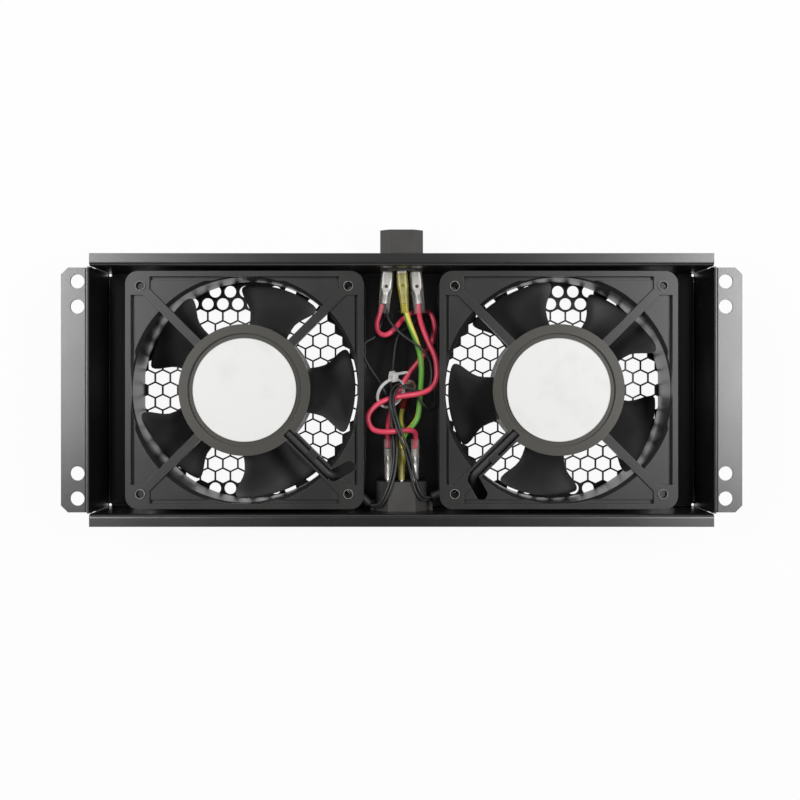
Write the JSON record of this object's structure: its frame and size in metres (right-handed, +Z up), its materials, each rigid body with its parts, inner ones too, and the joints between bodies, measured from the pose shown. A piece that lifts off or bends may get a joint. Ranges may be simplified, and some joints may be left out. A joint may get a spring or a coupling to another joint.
{
  "type": "rack fan tray",
  "caption": "Folded steel rack tray with a perforated floor, axial fans under open struts, a mains inlet and outlet for chaining, and end flanges with mounting holes.",
  "frame": {"origin": "centre of the outer mounting holes, on the top of the flanges", "axes": "+X along the tray, +Y towards the wall with the outlet, +Z up, out of the tray's open side"},
  "size_m": [0.34, 0.1503, 0.0473],
  "materials": {
    "steel_black": "satin powder coat",
    "fan_plastic": "satin moulded",
    "fan_rotor": "satin moulded",
    "steel": "plain",
    "bronze": "sintered",
    "copper": "enamelled",
    "zinc": "bright zinc",
    "label_white": "satin",
    "black_sleeve": "soft",
    "connector_black": "satin",
    "tinned": "tinned",
    "clear_boot": "clear vinyl",
    "yellow_boot": "tinted vinyl",
    "red_wire": "vinyl",
    "earth_wire": "vinyl",
    "black_wire": "vinyl",
    "red_sleeve": "vinyl",
    "nylon": "natural"
  },
  "bodies": {
    "tray_assembly": {"left_fan_frame": "fan_plastic", "left_sleeve_bearing": "bronze", "left_stator_core": "steel", "left_windings": "copper", "left_fan_label": "label_white", "left_lead_sleeve": "black_sleeve", "left_fan_screws": "zinc", "right_fan_frame": "fan_plastic", "right_sleeve_bearing": "bronze", "right_stator_core": "steel", "right_windings": "copper", "right_fan_label": "label_white", "right_lead_sleeve": "black_sleeve", "right_fan_screws": "zinc", "tray": "steel_black", "inlet_body": "connector_black", "inlet_pins": "tinned", "outlet_body": "connector_black", "outlet_contacts": "tinned", "live_wire": "red_wire", "neutral_wire": "red_wire", "earth_link_wire": "earth_wire", "earth_bond_wire": "earth_wire", "ring_terminal": "tinned", "ring_terminal_sleeve": "red_sleeve", "earth_screw": "zinc", "earth_nut": "zinc", "cable_tie": "nylon", "inlet_live_terminal": "tinned", "inlet_live_boot": "clear_boot", "inlet_neutral_terminal": "tinned", "inlet_neutral_boot": "clear_boot", "inlet_earth_terminal": "tinned", "inlet_earth_boot": "yellow_boot", "outlet_live_terminal": "tinned", "outlet_live_boot": "clear_boot", "outlet_neutral_terminal": "tinned", "outlet_neutral_boot": "clear_boot", "outlet_earth_terminal": "tinned", "outlet_earth_boot": "yellow_boot", "left_lead_1": "black_wire", "left_lead_2": "black_wire", "right_lead_1": "black_wire", "right_lead_2": "black_wire"},
    "left_rotor": {"left_impeller": "fan_rotor", "left_rotor_cup": "steel", "left_shaft": "steel", "left_shaft_clip": "steel"},
    "right_rotor": {"right_impeller": "fan_rotor", "right_rotor_cup": "steel", "right_shaft": "steel", "right_shaft_clip": "steel"}
  },
  "joints": [
    {"name": "left_rotor_spin", "type": "hinge", "parent": "tray_assembly", "child": "left_rotor", "pos_m": [-0.0792, 0, -0.0238], "axis": [0, 0, 1], "continuous": true},
    {"name": "right_rotor_spin", "type": "hinge", "parent": "tray_assembly", "child": "right_rotor", "pos_m": [0.0792, 0, -0.0238], "axis": [0, 0, 1], "continuous": true}
  ]
}
